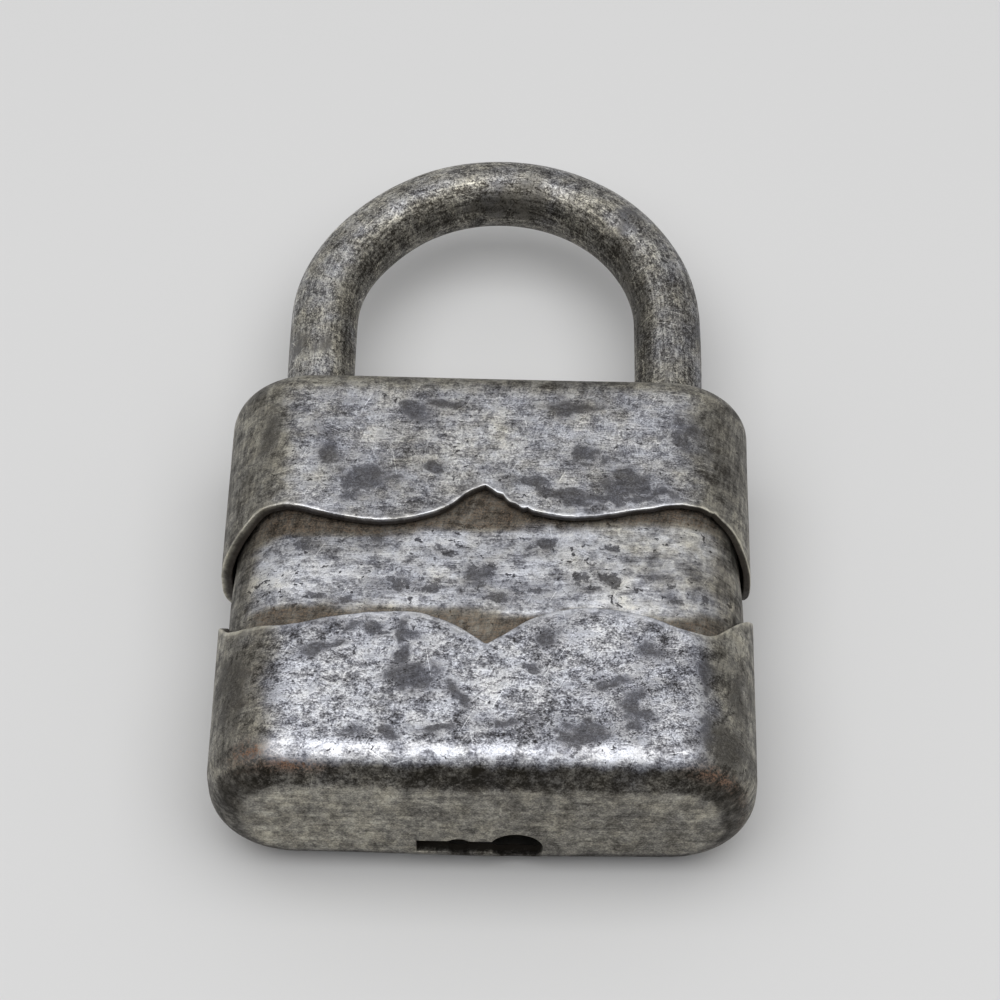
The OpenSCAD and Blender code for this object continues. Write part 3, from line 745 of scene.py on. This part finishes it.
class Maker:
    """Short calls for building a material's node tree; a value is a number or another node's socket."""

    def __init__(self, name):
        """A new material; coord is the coordinates that space starts from, and unit how many millimetres one is."""
        self.mat = bpy.data.materials.new(name)
        self.mat.use_nodes = True
        self.tree = self.mat.node_tree
        self.shader = self.tree.nodes["Principled BSDF"]
        self.coord = self.add("ShaderNodeTexCoord").outputs["Object"]
        self.unit = 1 / MM

    def add(self, kind, **props):
        """A new node with these settings."""
        node = self.tree.nodes.new(kind)
        for k, val in props.items():
            setattr(node, k, val)
        return node

    def put(self, socket, value):
        """Links or sets an input."""
        if isinstance(value, bpy.types.NodeSocket):
            self.tree.links.new(value, socket)
        else:
            socket.default_value = value

    def space(self, scale, turn=0, shift=(0, 0, 0)):
        """The piece's coordinates, turned in degrees about Z, in features per millimetre."""
        vector = self.coord
        if turn:
            spin = self.add("ShaderNodeVectorRotate", rotation_type="Z_AXIS")
            self.put(spin.inputs["Vector"], vector)
            spin.inputs["Angle"].default_value = math.radians(turn)
            vector = spin.outputs["Vector"]
        node = self.add("ShaderNodeMapping")
        self.put(node.inputs["Vector"], vector)
        node.inputs["Scale"].default_value = [s * self.unit for s in scale]
        node.inputs["Location"].default_value = shift
        return node.outputs["Vector"]

    def noise(self, vector, detail, rough, warp=0.0):
        """Noise of features one unit of the vector in size."""
        node = self.add("ShaderNodeTexNoise")
        settings = {"Vector": vector, "Scale": 1.0, "Detail": detail, "Roughness": rough, "Distortion": warp}
        for name, value in settings.items():
            self.put(node.inputs[name], value)
        return node.outputs["Fac"]

    def step(self, value, lo, hi, a=0.0, b=1.0):
        """A smooth step from a to b as value goes from lo to hi."""
        node = self.add("ShaderNodeMapRange", interpolation_type="SMOOTHSTEP")
        for k, x in enumerate((value, lo, hi, a, b)):
            self.put(node.inputs[k], x)
        return node.outputs["Result"]

    def calc(self, op, a, b, clamp=False):
        """One operation on two values, kept from 0 to 1 if clamp is set."""
        node = self.add("ShaderNodeMath", operation=op, use_clamp=clamp)
        self.put(node.inputs[0], a)
        self.put(node.inputs[1], b)
        return node.outputs["Value"]

    def sum(self, start, *terms):
        """start plus each weight times its value; a weight may be a socket."""
        total = start
        for w, val in terms:
            node = self.add("ShaderNodeMath", operation="MULTIPLY_ADD")
            self.put(node.inputs[0], val)
            self.put(node.inputs[1], w)
            self.put(node.inputs[2], total)
            total = node.outputs["Value"]
        return total

    def mix(self, factor, a, b):
        """A number between a and b."""
        node = self.add("ShaderNodeMix")
        self.put(node.inputs["Factor"], factor)
        self.put(node.inputs["A"], a)
        self.put(node.inputs["B"], b)
        return node.outputs["Result"]

    def blend(self, factor, a, b, how="MIX"):
        """A colour between a and b, each a triple or a socket."""
        node = self.add("ShaderNodeMix", data_type="RGBA", blend_type=how)
        a, b = ((*c, 1.0) if isinstance(c, tuple) else c for c in (a, b))
        for socket, val in zip([i for i in node.inputs if i.type == "RGBA"], (a, b), strict=True):
            self.put(socket, val)
        self.put(node.inputs["Factor"], factor)
        return next(o for o in node.outputs if o.type == "RGBA")

    def ramp(self, value, *stops):
        """A colour from stops, each a place and a triple."""
        node = self.add("ShaderNodeValToRGB")
        self.put(node.inputs["Fac"], value)
        band = node.color_ramp.elements
        while len(band) < len(stops):
            band.new(0.5)
        for e, (at, color) in zip(band, stops, strict=True):
            e.position = at
            e.color = (*color, 1.0)
        return node.outputs["Color"]

    def mask(self, name):
        """A mask from the mesh."""
        return self.add("ShaderNodeAttribute", attribute_name=name).outputs["Fac"]

    def bump(self, height, depth):
        """A relief of this depth in millimetres."""
        node = self.add("ShaderNodeBump")
        node.inputs["Strength"].default_value = 1.0
        node.inputs["Distance"].default_value = depth * MM
        self.put(node.inputs["Height"], height)
        return node.outputs["Normal"]

    def set(self, **values):
        """Finishes the material with the shader's inputs."""
        names = {"color": "Base Color", "rough": "Roughness", "metal": "Metallic", "normal": "Normal"}
        for k, val in values.items():
            self.put(self.shader.inputs[names[k]], (*val, 1.0) if isinstance(val, tuple) else val)
        return self.mat


# Worn steel's colours, from deep dirt to polished metal
STEEL = ((0.0, (0.03, 0.029, 0.03)), (0.2, (0.084, 0.084, 0.095)), (0.4, (0.192, 0.196, 0.223)),
         (0.6, (0.385, 0.394, 0.433)), (0.8, (0.65, 0.667, 0.725)), (1.0, (0.88, 0.9, 0.95)))
FILM_BROWN = (1.0, 0.938, 0.745)
BACK_BROWN = (0.045, 0.036, 0.028)
YELLOWED = (1.02, 1.0, 0.95)
# Scratches: their direction in degrees, and how high the noise must be, so how few there are
SCRATCHES = ((-12, 0.735), (28, 0.74), (-63, 0.735), (80, 0.745), (4, 0.72))


def worn_steel(name, seed, strokes=(0.3, 3.0, 0.3), rubs=(1.6, 0.22, 1.6), brush=0.3, grain=1.0,
               mottle=1.0, pits=1.25, pitted=0.0, edge=0.25, lip=0.1, haze=0.3, gloss=0.0,
               solidity=1.0, specks=0.7, rust=((0.04, 0.03, 0.022), (0.17, 0.12, 0.08)), flow=False):
    """Bare steel worn through old dirt: blotches, fine grit, strokes, scratches and pits.

    strokes is the scale of the brushed marks, brush their strength and rubs the
    scale of those on filmy places. grain and mottle are the strengths of the
    grit and the blotches, pits is the pits' scale, and pitted adds more of them.
    edge is the tone beside the cut edge, and lip adds a painted highlight along the
    edge itself. haze is how much the dirty film, and the painted shade it carries,
    hides the texture, solidity how dark the old dirt is, and gloss smooths the whole
    surface. rust is its two colours, and specks the share of it in small spots. With
    flow, the marks follow a bent bar.
    """
    m = Maker(name)
    if flow:
        m.coord, m.unit = m.add("ShaderNodeAttribute", attribute_name="flow").outputs["Vector"], 1.0
    wear, film, rim, cut = m.mask("wear"), m.mask("film"), m.mask("rim"), m.mask("cut")
    end, dirt, calm = m.mask("end"), m.mask("dirt"), m.mask("calm")
    big = m.noise(m.space((0.1, 0.12, 0.1), shift=(seed, 0, 0)), 4, 0.6, 0.4)
    mid = m.noise(m.space((0.45, 0.6, 0.45), shift=(0, seed, 0)), 6, 0.62, 0.3)
    small = m.noise(m.space((1.7, 2.0, 1.7), shift=(seed, seed, 0)), 4, 0.7)
    grit = m.noise(m.space((4.4, 5.2, 4.4), shift=(0, seed, seed)), 2, 0.7)
    stroke = m.noise(m.space(strokes, shift=(0, 0, seed)), 6, 0.75)
    rub = m.noise(m.space(rubs, turn=0 if flow else 14, shift=(seed, 4, 0)), 6, 0.75)
    swipe = m.noise(m.space((0.16, 1.6, 1.6), shift=(0, 5, seed)), 6, 0.7)

    # Old dirt: thin at first, solid in the middle of a patch
    amount = m.sum(-2.6, (1.0, dirt), (2.6, mid), (1.5, small), (1.1, grit))
    old = m.step(amount, 0.36, 0.54)
    solid = m.calc("MULTIPLY", old, m.step(m.sum(-0.9, (1.0, dirt), (1.2, mid), (0.6, small)), 0.3, 0.5))

    # The tone of the bare metal: blotches, grit where it isn't hidden, strokes and rubs
    gain = m.sum(grain, (-0.75 * grain, solid), (-1.2 * haze * grain, film), (-0.4 * grain, rim),
                 (-0.7 * grain, calm))
    speck = m.sum(-1.5, (1.4, small), (1.6, grit))
    # The bare-metal mask also brings in the painted highlights and painted shade set on the meshes
    tone = m.sum(-1.25 * mottle, (1.0, wear), (1.5 * mottle, mid), (1.0 * mottle, big))
    tone = m.sum(tone, (gain, speck), (brush, m.calc("SUBTRACT", stroke, 0.5)))
    side = m.calc("MULTIPLY", m.calc("SUBTRACT", film, end, True), m.calc("SUBTRACT", rub, 0.5))
    tone = m.mix(m.calc("MULTIPLY", film, haze), tone, 0.4)
    tone = m.sum(tone, (1.0, side))
    deep = m.sum(0.35, (-0.9 * haze, film))
    for k, (turn, where) in enumerate(SCRATCHES):
        line = m.noise(m.space((0.2, 6.0, 0.2), turn=turn, shift=(seed, k, 2 * k)), 1.0, 0.5)
        tone = m.sum(tone, (deep, m.step(line, where, where + 0.04)))

    # Over it: dirt, the dull end, pits, the cut edge with a painted highlight on its lip, and the sheet's back
    covered = m.sum(0.0, (0.45 * solidity, old), (0.48 * solidity, solid))
    tone = m.mix(covered, tone, m.sum(-0.35, (0.55, small), (0.55, grit)))
    dull_end = m.sum(-1.06, (0.6, swipe), (0.8, mid), (0.7, grit), (0.6, small), (0.35, big))
    tone = m.mix(m.calc("MULTIPLY", end, 0.85), tone, dull_end)
    speckle = m.noise(m.space((pits, 1.15 * pits, pits), shift=(seed, 3, 3)), 2.5, 0.65, 0.4)
    pit = m.step(m.sum(pitted - 0.2, (1.0, speckle), (0.4, big)), 0.66, 0.72)
    pit = m.calc("MULTIPLY", pit, m.sum(1.0, (-0.75, end)))
    tone = m.mix(m.calc("MULTIPLY", pit, 0.8), tone, 0.1)
    tone = m.mix(m.calc("MULTIPLY", rim, 0.5), tone, m.sum(edge, (0.3, small), (0.2, grit)))
    # Painted highlight along the lip of the cut edge
    lip_highlight = m.calc("MULTIPLY", m.step(rim, 0.75, 1.0), m.step(mid, 0.35, 0.55, 0.5, 1.1))
    tone = m.sum(tone, (lip, lip_highlight))
    tone = m.calc("SUBTRACT", tone, m.calc("MULTIPLY", cut, 0.5), True)

    # Colour: the tone's, yellowed in places, browner under the film, and rust
    color = m.ramp(tone, *STEEL)
    tint = m.noise(m.space((0.4, 0.5, 0.4), shift=(3, seed, 9)), 5, 0.65)
    color = m.blend(m.step(tint, 0.36, 0.64), color, m.blend(1.0, color, YELLOWED, "MULTIPLY"))
    patch = m.noise(m.space((0.22, 0.26, 0.22), shift=(7, seed, 3)), 4, 0.6)
    warm = m.step(m.sum(-0.5, (0.8, film), (1.0, patch)), 0.1, 0.75)
    color = m.blend(warm, color, FILM_BROWN, "MULTIPLY")
    spots = m.step(m.sum(0.0, (0.35, mid), (0.4, small), (0.25, grit)), 0.46, 0.56)
    rusty = m.calc("MULTIPLY", m.mask("rust"), m.sum(1 - specks, (specks, spots)), True)
    color = m.blend(rusty, color, m.blend(m.step(grit, 0.35, 0.65), *rust))
    color = m.blend(m.calc("MULTIPLY", cut, 0.7), color, BACK_BROWN)

    dull = m.calc("SUBTRACT", 1.0, tone, True)
    rough = m.sum(0.24 - gloss, (0.24, dull), (0.12, grit), (0.08, warm), (0.15, rusty), (0.1, calm))
    metal = m.calc("SUBTRACT", 1.0, m.sum(0.0, (0.15, old), (0.5, rusty), (0.5, cut)), True)
    relief = m.sum(0.0, (0.35, tone), (0.4, grit), (0.3, small), (-0.8, pit), (0.3 * brush, stroke),
                   (-0.3, rusty))
    return m.set(color=color, rough=rough, metal=metal, normal=m.bump(relief, 0.05))


CAP_LOW = worn_steel("cap_low_steel", 3.1, mottle=1.1, edge=0.38, lip=0.15,
                     specks=0.95, rust=((0.06, 0.036, 0.025), (0.25, 0.15, 0.1)))
CAP_TOP = worn_steel("cap_top_steel", 8.4, brush=0.7, grain=0.9, mottle=0.85, lip=0.25)
BAND = worn_steel("band_steel", 14.2, strokes=(0.22, 2.6, 0.22), brush=0.9, grain=0.7, mottle=1.15,
                  pits=0.95, pitted=0.03)
BAR = worn_steel("bar_steel", 21.7, strokes=(0.2, 2.4, 2.4), rubs=(0.3, 2.2, 2.2), brush=0.9,
                 mottle=0.6, pitted=0.02, haze=0.1, gloss=0.02, solidity=0.65, flow=True)


def works(name, base, dirt, rough, seed):
    """Oiled, dusty metal of the works, between its own colour and the dirt's."""
    m = Maker(name)
    cloudy = m.noise(m.space((0.25, 0.25, 0.25), shift=(seed, 0, 0)), 6, 0.6)
    grain = m.noise(m.space((0.2, 3.0, 3.0), shift=(0, seed, 0)), 4, 0.6)
    fac = m.step(m.sum(0.0, (0.7, cloudy), (0.3, grain)), 0.42, 0.62)
    roughness = m.sum(rough, (0.2, fac), (0.15, grain))
    return m.set(color=m.blend(fac, base, dirt), rough=roughness, metal=1.0, normal=m.bump(grain, 0.02))


WORKS_STEEL = works("works_steel_oiled", (0.33, 0.325, 0.31), (0.12, 0.10, 0.075), 0.3, 2.0)
WORKS_BRASS = works("works_brass_dull", (0.48, 0.36, 0.17), (0.16, 0.11, 0.06), 0.3, 5.0)
SPRING_STEEL = works("spring_steel_blue", (0.16, 0.19, 0.26), (0.07, 0.07, 0.08), 0.25, 9.0)

# ---------------------------------------------------------------- pieces on their bodies

WORN = (
    (bottom_cap, CAP_LOW, "bottom_cap", "case", "cap_steel"),
    (top_cap, CAP_TOP, "top_cap", "case", "cap_steel"),
    (mid_case, BAND, "inner_case", "case", "case_steel"),
    (shackle, BAR, "shackle", "shackle", "shackle_steel"),
)
LEVERS = 4


def dress(piece, material):
    """Gives a new piece its material and its shading."""
    piece.data.materials.clear()
    piece.data.materials.append(material)
    shade(piece)


for piece, material, node, body, slot in WORN:
    dress(piece, material)
    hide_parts(node)
    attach(piece, body)

# Each leaf spring: a fixed copy of its CAD mesh in spring steel replaces the CAD node
for k in range(1, LEVERS + 1):
    node = f"lever_spring_{k}"
    leaf = bpy.data.objects.new(f"leaf_spring_{k}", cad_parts[node].data.copy())
    bpy.context.scene.collection.objects.link(leaf)
    dress(leaf, SPRING_STEEL)
    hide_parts(node)
    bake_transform(leaf)

# The CAD nodes: the works show as they are, in steel except for these
FINISH = {node: material for _, material, node, _, _ in WORN}
FINISH |= {f"lever_spring_{k}": SPRING_STEEL for k in range(1, LEVERS + 1)}
FINISH |= {f"lever_{k}": WORKS_BRASS for k in range(1, LEVERS + 1)}
FINISH |= {"lever_spacers": WORKS_BRASS, "ward_ring": WORKS_BRASS}
for name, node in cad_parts.items():
    if not node.material_slots:
        node.data.materials.append(None)
    for s in node.material_slots:
        s.material = FINISH.get(name, WORKS_STEEL)

# ---------------------------------------------------------------- floor, light and camera

FLOOR = 6000  # half its side
FLOOR_GAP = 0.02  # below the object

corners = [(-FLOOR, -FLOOR, 0), (FLOOR, -FLOOR, 0), (FLOOR, FLOOR, 0), (-FLOOR, FLOOR, 0)]
floor = new_object("floor", corners, [(0, 1, 2, 3)])
floor.location.z = -FLOOR_GAP * MM
m = Maker("floor_paper")
tone = m.noise(m.space((0.01, 0.01, 0.01)), 2, 0.5)
m.set(color=m.blend(tone, (0.68, 0.68, 0.68), (0.70, 0.70, 0.70)), rough=0.9)
m.shader.inputs["Specular IOR Level"].default_value = 0.1
floor.data.materials.append(m.mat)


def softbox(name, direction, size, power, distance):
    """A rectangular light that faces the object from a direction; size and distance are in metres."""
    light = bpy.data.lights.new(name, "AREA")
    light.shape = "RECTANGLE"
    light.size, light.size_y = size
    light.energy = power
    o = bpy.data.objects.new(name, light)
    bpy.context.scene.collection.objects.link(o)
    d = Vector(direction).normalized()
    o.location = d * distance
    o.rotation_mode = "QUATERNION"
    o.rotation_quaternion = d.to_track_quat("Z", "Y")


softbox("overhead", (0.0, -0.17, 0.98), (1.25, 0.95), 6.6, 0.8)

# The studio is dim in front of the object and bright behind it: its strength goes from DIM
# to BRIGHT as the direction's Y goes from DIM_Y to BRIGHT_Y
DIM_Y, BRIGHT_Y = -0.75, 0.3
DIM, BRIGHT = 0.12, 0.52
world = bpy.data.worlds.new("studio")
bpy.context.scene.world = world
world.use_nodes = True
tree = world.node_tree
back = tree.nodes["Background"]
coord = tree.nodes.new("ShaderNodeTexCoord")
split = tree.nodes.new("ShaderNodeSeparateXYZ")
tree.links.new(coord.outputs["Generated"], split.inputs[0])
ramp = tree.nodes.new("ShaderNodeMapRange")
ramp.interpolation_type = "SMOOTHSTEP"
tree.links.new(split.outputs["Y"], ramp.inputs[0])
for k, value in enumerate((DIM_Y, BRIGHT_Y, DIM, BRIGHT), start=1):
    ramp.inputs[k].default_value = value
tree.links.new(ramp.outputs[0], back.inputs["Strength"])
back.inputs["Color"].default_value = (1.0, 1.0, 1.0, 1.0)

# The photograph's camera, from the fit of the lock's outline: angles in degrees, lengths in millimetres
AZIMUTH, ELEVATION, ROLL = 1.43, 54.14, -0.28
AIM = Vector((1.13, -3.39, 10.0)) * MM
DISTANCE = 390.06 * MM
LENS, SENSOR = 121.2, 36.0
az, el = math.radians(AZIMUTH), math.radians(ELEVATION)
outward = Vector((math.sin(az) * math.cos(el), -math.cos(az) * math.cos(el), math.sin(el)))
cam = bpy.data.cameras.new("camera")
cam.lens = LENS
cam.sensor_width = SENSOR
cam.clip_start, cam.clip_end = 0.01, 50.0
cam_object = bpy.data.objects.new("camera", cam)
bpy.context.scene.collection.objects.link(cam_object)
cam_object.location = AIM + outward * DISTANCE
turn = outward.to_track_quat("Z", "Y").to_matrix().to_4x4() @ Matrix.Rotation(math.radians(ROLL), 4, "Z")
cam_object.rotation_mode = "QUATERNION"
cam_object.rotation_quaternion = turn.to_quaternion()
bpy.context.scene.camera = cam_object
bpy.context.scene.view_settings.view_transform = "Standard"
